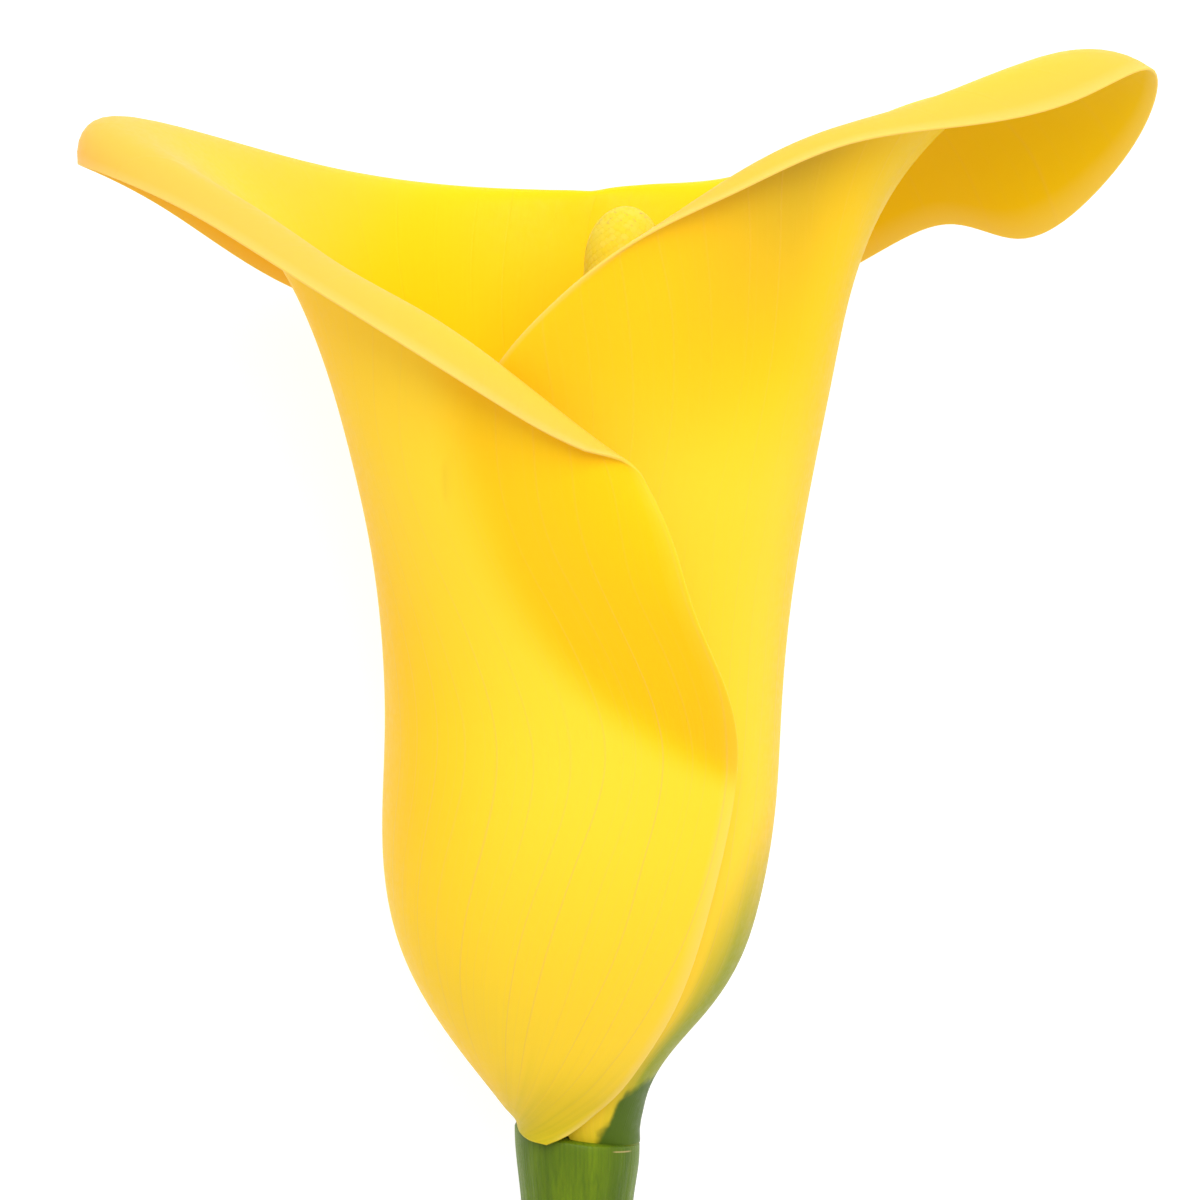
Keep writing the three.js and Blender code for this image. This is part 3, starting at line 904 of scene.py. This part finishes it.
def stored(tree, name, output="Fac"):
    """A named value that is stored for the piece's points."""
    return add_node(tree, "ShaderNodeAttribute", attribute_name=name).outputs[output]


def finish_surface(tree, shader, colour, roughness, relief, bump, skin, specular):
    """Gives a shader its colour, roughness, relief and gloss. The bump is the relief's strength and distance,
    and the skin is the weight, radii and scale of the light that spreads below the surface."""
    bumped = add_node(tree, "ShaderNodeBump", {"Height": relief, "Strength": bump[0], "Distance": bump[1]})
    set_inputs(tree, shader, {
        "Base Color": colour,
        "Roughness": roughness,
        "Normal": bumped.outputs[0],
        "Subsurface Weight": skin[0],
        "Subsurface Radius": skin[1],
        "Subsurface Scale": skin[2],
        "Specular IOR Level": specular,
    })


def vein_group():
    """Pale lines that run up the leaf, as a mask over the leaf's own coordinates."""
    tree = bpy.data.node_groups.new("leaf_veins", "ShaderNodeTree")
    add_sockets(tree, "INPUT", "Vector", ["Place"])
    add_sockets(tree, "INPUT", "Float", BROAD_VEINS)
    add_sockets(tree, "OUTPUT", "Float", ["Mask"])
    given = tree.nodes.new("NodeGroupInput").outputs
    round_leaf, up, _ = values_of(tree, given["Place"])
    stray = noise(tree, given["Place"], (9, 2.2, 1), dimensions="2D")
    stray = times(tree, minus(tree, stray, 0.5), given["Wander"])
    across = times(tree, plus(tree, round_leaf, stray), given["Count"])
    distance = link_math(tree, "PINGPONG", across, 0.5)
    line = link_math(tree, "SUBTRACT", 1, link_math(tree, "DIVIDE", distance, given["Width"]), clamp=True)
    lane = link_math(tree, "FLOOR", plus(tree, across, 0.5))
    strength = noise(tree, vector_of(tree, lane, up), (3.7, 2.0, 1), dimensions="2D")
    shown = map_range(tree, strength, minus(tree, 1, given["Shown"]), 0.75)
    out = tree.nodes.new("NodeGroupOutput")
    tree.links.new(times(tree, times(tree, line, line), shown), out.inputs["Mask"])
    return tree


def petal_material(settings):
    """Waxy yellow petal tissue: faint pale veins, a green flush at the base, painted shade and painted
    highlights.
    """
    material, tree, shader = new_material("petal")
    group = vein_group()
    where = add_node(tree, "ShaderNodeTexCoord").outputs["Object"]
    round_leaf, up, _ = values_of(tree, add_node(tree, "ShaderNodeUVMap", uv_map="UVMap").outputs[0])
    sweep = times(tree, link_math(tree, "EXPONENT", times(tree, up, -VEIN_SWEEP_FALL)), VEIN_SWEEP)
    place = vector_of(tree, minus(tree, round_leaf, sweep), up)
    broad, fine = (
        add_node(tree, "ShaderNodeGroup", {"Place": place, **veins}, node_tree=group).outputs["Mask"]
        for veins in (BROAD_VEINS, FINE_VEINS)
    )
    inner = stored(tree, "inner")
    lines = plus(tree, times(tree, broad, BROAD_VEIN_STRENGTH), times(tree, fine, FINE_VEIN_STRENGTH))
    for fading in (
        map_range(tree, up, 0.32, 0.6, 1.0, 0.3, smooth=True),
        map_range(tree, up, 0.0, 0.1, 0.15, 1.0),
        map_range(tree, inner, 0.0, 1.0, 1.0, 0.25),
    ):
        lines = times(tree, lines, fading)
    patches = noise(tree, where, 38.0)
    fibre = noise(tree, place, (420, 5, 1), detail=3.0, dimensions="2D")
    streak = minus(tree, noise(tree, place, (64, 5, 1), dimensions="2D"), 0.5)
    ragged = minus(tree, noise(tree, where, 700.0), 0.5)
    flush = plus(tree, stored(tree, "flush"), times(tree, streak, FLUSH_STREAKS))
    flush = map_range(tree, flush, *FLUSH_RISES, 0.0, FLUSH_STRENGTH, smooth=True)
    solid = plus(tree, stored(tree, "stem_green"), times(tree, ragged, GREEN_RAGGED))
    solid = map_range(tree, solid, *GREEN_RISES, smooth=True)
    outside = minus(tree, 1, times(tree, inner, 0.5))
    # Painted sheen and shade beside the rim: paler and duller
    painted_rim_sheen = times(tree, times(tree, stored(tree, "rim_sheen"), RIM_SHEEN_STRENGTH), inner)
    colour = paint(tree, settings.yellow, (
        (map_range(tree, patches, 0.35, 0.65), settings.deep_yellow),
        (map_range(tree, fibre, 0.3, 0.7, 0.0, 0.22), settings.deep_yellow),
        # Painted shade on the fold and the right flank
        (stored(tree, "painted_fold_and_flank_shade"), settings.fold_and_flank_shade_yellow),
        # Painted highlight on the bulge and the front of the tube
        (stored(tree, "paler"), settings.highlight_yellow),
        # Painted shade under the right lip
        (times(tree, stored(tree, "painted_lip_shade"), LIP_SHADE_STRENGTH), settings.painted_lip_shade),
        # Painted shade on the back of the higher wing
        (stored(tree, "wing_back_shade"), settings.wing_back_shade),
        (inner, settings.inner_yellow),
        # Painted sheen and shade beside the rim
        (painted_rim_sheen, settings.rim_sheen_yellow),
        (lines, settings.vein),
        (times(tree, flush, outside), settings.yellow_green),
        (times(tree, solid, outside), settings.green),
        # Painted highlight along the edges
        (times(tree, stored(tree, "margin"), EDGE_HIGHLIGHT_STRENGTH), settings.pale_yellow),
    ))
    grain = noise(tree, where, 1800.0)
    relief = plus(tree, times(tree, broad, 0.6), times(tree, grain, 0.25))
    relief = plus(tree, relief, times(tree, fibre, 0.35))
    roughness = map_range(tree, grain, 0.3, 0.7, 0.42, 0.56)
    skin = (0.2, (1.0, 0.8, 0.2), 0.001)
    finish_surface(tree, shader, colour, roughness, relief, (0.35, 0.00008), skin, specular=0.13)
    set_inputs(tree, shader, {"Sheen Weight": 0.02, "Sheen Roughness": 0.4})
    return material


def spadix_material(settings):
    """Mealy yellow florets, each in its own tone, with a few brown grains at the tip."""
    material, tree, shader = new_material("florets")
    where = add_node(tree, "ShaderNodeTexCoord").outputs["Object"]
    grain = noise(tree, where, 2600.0, detail=3.0, roughness=0.65)
    _, up, _ = values_of(tree, where)
    near_tip = map_range(tree, up, SPECKS_START * MM, SPECKS_END * MM)
    speck = map_range(tree, noise(tree, where, 2400.0), 0.6, 0.68, 0.0, 0.7)
    colour = paint(tree, settings.yellow, (
        (stored(tree, "floret_tone"), settings.pale_yellow),
        (map_range(tree, grain, 0.35, 0.7, 0.0, 0.2), settings.deep_yellow),
        (times(tree, speck, near_tip), settings.speck),
    ))
    roughness = map_range(tree, grain, 0.3, 0.7, 0.6, 0.85)
    skin = (0.25, (1.0, 0.6, 0.1), 0.001)
    finish_surface(tree, shader, colour, roughness, grain, (0.15, 0.00006), skin, specular=0.25)
    return material


def stem_material(settings):
    """Fleshy green skin with soft lengthwise streaks and a pale scratch."""
    material, tree, shader = new_material("stalk_skin")
    place = stored(tree, "stalk_place", "Vector")
    broad = noise(tree, place, (0.5, 0.02, 0.5))
    fine = noise(tree, place, (4.5, 0.06, 4.5), detail=3.0)
    along, height, front = values_of(tree, place)
    line = link_math(tree, "ABSOLUTE", minus(tree, height, SCRATCH_HEIGHT))
    line = map_range(tree, line, 0.02, SCRATCH_HALF, 1.0, 0.0)
    for limit in (
        map_range(tree, along, SCRATCH_STARTS, SCRATCH_STARTS + SCRATCH_TAPER),
        map_range(tree, along, SCRATCH_ENDS - SCRATCH_TAPER, SCRATCH_ENDS, 1.0, 0.0),
        link_math(tree, "GREATER_THAN", front, 0.5),
    ):
        line = times(tree, line, limit)
    colour = paint(tree, settings.green, (
        (map_range(tree, broad, 0.35, 0.65), settings.fresh_green),
        (map_range(tree, fine, 0.35, 0.7, 0.0, 0.4), settings.dark_green),
        (line, settings.scratch),
    ))
    grain = noise(tree, place, 6.0)
    relief = plus(tree, fine, times(tree, grain, 0.4))
    roughness = map_range(tree, grain, 0.3, 0.7, 0.36, 0.5)
    skin = (0.2, (0.4, 1.0, 0.2), 0.0015)
    finish_surface(tree, shader, colour, roughness, relief, (0.5, 0.0001), skin, specular=0.18)
    return material


def cut_material(settings):
    """The moist pale flesh of the cut end, dotted with the ends of its strands."""
    material, tree, shader = new_material("stalk_cut")
    place = stored(tree, "stalk_place", "Vector")
    cells = add_node(tree, "ShaderNodeTexVoronoi", {"Vector": place, "Scale": 1.15}, feature="F1")
    dots = map_range(tree, cells.outputs["Distance"], 0.16, 0.24, 1.0, 0.0)
    grain = noise(tree, place, 9.0, detail=3.0)
    colour = paint(tree, settings.flesh, (
        (map_range(tree, grain, 0.3, 0.7), settings.fresh_green),
        (times(tree, dots, 0.7), settings.green),
    ))
    relief = plus(tree, times(tree, grain, 0.6), times(tree, dots, -0.5))
    skin = (0.3, (0.6, 1.0, 0.3), 0.001)
    finish_surface(tree, shader, colour, 0.35, relief, (0.6, 0.0002), skin, specular=0.5)
    return material


def floor_material(settings):
    """Matte white paper, lit evenly."""
    material, tree, shader = new_material("white_paper")
    where = add_node(tree, "ShaderNodeTexCoord").outputs["Object"]
    tooth = noise(tree, where, 900.0)
    set_inputs(tree, shader, {
        "Roughness": map_range(tree, tooth, 0.3, 0.7, 0.8, 0.95),
        "Base Color": (0.45, 0.45, 0.45, 1),
        "Specular IOR Level": 0.1,
        "Emission Color": (1, 1, 1, 1),
        "Emission Strength": settings.floor_glow,
    })
    return material


# Studio

def make_floor(settings):
    """A wide pale sheet that the flower lies on."""
    reach = settings.floor_size / 2
    corners = [(-reach, -reach, 0), (reach, -reach, 0), (reach, reach, 0), (-reach, reach, 0)]
    build_mesh("floor", corners, [(0, 1, 2, 3)], Matrix(), [floor_material(settings)])


def make_lights(settings):
    """One large soft light over the mouth of the flower, and an even white surround."""
    data = bpy.data.lights.new("key", "AREA")
    data.size, data.energy = KEY_SIZE, settings.key_energy
    light = add_object("key", data)
    light.location = (CAD_BOX[0] + CAD_BOX[1]) / 2 + Vector(KEY_PLACE)
    light.rotation_euler = (-Vector(KEY_PLACE)).to_track_quat("-Z", "Y").to_euler()
    world = bpy.data.worlds.new("surround")
    world.use_nodes = True
    background = world.node_tree.nodes["Background"]
    set_inputs(world.node_tree, background, {"Color": (1, 1, 1, 1), "Strength": settings.surround})
    bpy.context.scene.world = world


def make_camera(settings):
    """Straight above the flower, as the photograph is taken, with its frame and its perspective."""
    foot = flower_matrix().translation
    side = (PHOTO_SIZE / 2 - AXIS_FOOT_PIXEL[0]) / PIXELS_PER_MM * MM
    up = (AXIS_FOOT_PIXEL[1] - PHOTO_SIZE / 2) / PIXELS_PER_MM * MM
    data = bpy.data.cameras.new("camera")
    data.sensor_width = 36
    data.lens = data.sensor_width * settings.camera_distance / (PHOTO_SIZE / PIXELS_PER_MM * MM)
    data.clip_start, data.clip_end = 0.01, 20
    camera = add_object("camera", data)
    camera.location = foot + Vector((side, up, settings.camera_distance))
    bpy.context.scene.camera = camera


# Settings

def tint(name, description, value):
    """A colour that the user can change."""
    return FloatVectorProperty(
        name=name, description=description, default=value, size=3, min=0, max=1, subtype="COLOR")


def length(name, description, value):
    """A length in metres that the user can change."""
    return FloatProperty(
        name=name, description=description, default=value, min=0, precision=5,
        subtype="DISTANCE", unit="LENGTH")


class SpatheSettings(bpy.types.PropertyGroup):
    """Thickness and colours of the leaf round the spadix."""
    base_thickness: length("Base thickness", "Thickness of the leaf at its base", 0.0009)
    rim_thickness: length("Rim thickness", "Thickness of the leaf at its rim", 0.00042)
    # Width of the painted highlight along the edges
    margin: length("Margin", "Width of the pale line along the edges", 0.0005)
    # Width of the painted sheen and shade beside the rim
    rim_sheen_band: length("Rim band", "Width of the paler band beside the rim", 0.014)
    yellow: tint("Yellow", "Main colour of the petal", (0.97, 0.59, 0.003))
    deep_yellow: tint("Deep yellow", "Warmer patches and fibres", (0.96, 0.545, 0.003))
    # Painted shade on the fold and the right flank
    fold_and_flank_shade_yellow: tint("Fold yellow", "Folded part beside the free edge", (0.96, 0.57, 0.002))
    # Painted highlight on the bulge and the front of the tube
    highlight_yellow: tint("Bulge yellow", "Paler front of the tube", (0.97, 0.63, 0.026))
    inner_yellow: tint("Inner yellow", "Face towards the spadix", (0.97, 0.63, 0.003))
    # Painted sheen and shade beside the rim, paler and duller
    rim_sheen_yellow: tint("Rim yellow", "Inner face beside the rim", (0.96, 0.49, 0.07))
    # Painted shade under the right lip
    painted_lip_shade: tint("Under lip", "Outer face beside the right lip", (0.5, 0.345, 0.02))
    # Painted shade on the back of the higher wing
    wing_back_shade: tint("Wing back", "Outer face of the higher wing", (0.84, 0.56, 0.001))
    # Painted highlight along the edges
    pale_yellow: tint("Pale yellow", "The very edge", (0.88, 0.62, 0.2))
    vein: tint("Vein", "Fine lines up the leaf", (0.82, 0.5, 0.1))
    yellow_green: tint("Yellow green", "Flush at the base", (0.2, 0.27, 0.002))
    green: tint("Green", "Lowest part, next to the stem", (0.075, 0.13, 0.008))


class SpadixSettings(bpy.types.PropertyGroup):
    """Florets and colours of the rod in the mouth."""
    floret_size: length("Floret size", "Spacing of the florets on the upper part", 0.00062)
    female_size: length("Lower floret size", "Spacing of the florets on the lower part", 0.0017)
    floret_relief: length("Relief", "How far a floret stands out", 0.00004)
    yellow: tint("Yellow", "Main colour of the florets", (0.97, 0.74, 0.02))
    deep_yellow: tint("Deep yellow", "Gaps and grains", (0.93, 0.64, 0.01))
    pale_yellow: tint("Pale yellow", "The lightest florets", (0.97, 0.76, 0.06))
    speck: tint("Speck", "Dry grains at the tip", (0.68, 0.36, 0.1))


class StemSettings(bpy.types.PropertyGroup):
    """Ribs and colours of the stem."""
    rib_height: length("Rib height", "How far the faint ribs stand out", 0.00004)
    green: tint("Green", "Main colour of the skin", (0.08, 0.138, 0.005))
    fresh_green: tint("Fresh green", "Lighter streaks", (0.15, 0.23, 0.004))
    dark_green: tint("Dark green", "Fine darker streaks", (0.05, 0.10, 0.006))
    scratch: tint("Scratch", "Healed scratch below the leaf", (0.42, 0.32, 0.12))
    flesh: tint("Flesh", "Inside of the stem at the cut", (0.45, 0.55, 0.2))


class StudioSettings(bpy.types.PropertyGroup):
    """Camera, lights and floor."""
    camera_distance: length("Camera distance", "From the flower's axis up to the camera", 0.8)
    floor_size: length("Floor size", "Width of the floor", 6.0)
    key_energy: FloatProperty(
        name="Key light", description="Power of the key light", default=10.0, unit="POWER")
    surround: FloatProperty(name="Surround", description="Strength of the white surround", default=0.77)
    floor_glow: FloatProperty(name="Floor glow", description="Light that the floor gives off", default=0.75)


# Operators and panel

class CALLA_OT_spathe(bpy.types.Operator):
    """Build the rolled leaf with its flared rim"""
    bl_idname = "calla.spathe"
    bl_label = "Add spathe"

    def execute(self, context):
        settings = context.scene.calla_spathe
        finish_piece(make_spathe(settings, petal_material(settings)), "spathe")
        return {"FINISHED"}


class CALLA_OT_spadix(bpy.types.Operator):
    """Build the rod of florets inside the leaf"""
    bl_idname = "calla.spadix"
    bl_label = "Add spadix"

    def execute(self, context):
        settings = context.scene.calla_spadix
        finish_piece(make_spadix(settings, spadix_material(settings)), "spadix")
        return {"FINISHED"}


class CALLA_OT_stem(bpy.types.Operator):
    """Build the cut stem"""
    bl_idname = "calla.stem"
    bl_label = "Add stem"

    def execute(self, context):
        settings = context.scene.calla_stem
        finish_piece(make_stem(settings, stem_material(settings), cut_material(settings)), "stem")
        return {"FINISHED"}


class CALLA_OT_studio(bpy.types.Operator):
    """Build the floor, the lights and the camera"""
    bl_idname = "calla.studio"
    bl_label = "Add studio"

    def execute(self, context):
        settings = context.scene.calla_studio
        make_floor(settings)
        make_lights(settings)
        make_camera(settings)
        context.scene.view_settings.view_transform = "Standard"
        return {"FINISHED"}


class CALLA_PT_flower(bpy.types.Panel):
    """The flower's parts and their settings"""
    bl_label = "Calla lily"
    bl_space_type = "VIEW_3D"
    bl_region_type = "UI"
    bl_category = "Calla lily"

    def draw(self, context):
        for part in SETTINGS:
            box = self.layout.box()
            box.operator("calla." + part)
            group = getattr(context.scene, "calla_" + part)
            for name in group.bl_rna.properties.keys():
                if name not in ("name", "rna_type"):
                    box.prop(group, name)


SETTINGS = {
    "spathe": SpatheSettings,
    "spadix": SpadixSettings,
    "stem": StemSettings,
    "studio": StudioSettings,
}
CLASSES = (
    *SETTINGS.values(),
    CALLA_OT_spathe,
    CALLA_OT_spadix,
    CALLA_OT_stem,
    CALLA_OT_studio,
    CALLA_PT_flower,
)


def register():
    """Adds the classes, and the settings to the scene."""
    for item in CLASSES:
        bpy.utils.register_class(item)
    for part, group in SETTINGS.items():
        setattr(bpy.types.Scene, "calla_" + part, PointerProperty(type=group))


def unregister():
    """Takes the settings and the classes away."""
    for part in SETTINGS:
        delattr(bpy.types.Scene, "calla_" + part)
    for item in reversed(CLASSES):
        bpy.utils.unregister_class(item)


def main():
    """Builds the flower and its studio."""
    register()
    bpy.ops.calla.spathe()
    bpy.ops.calla.spadix()
    bpy.ops.calla.stem()
    bpy.ops.calla.studio()
    bpy.context.view_layer.update()


if __name__ == "__main__":
    main()
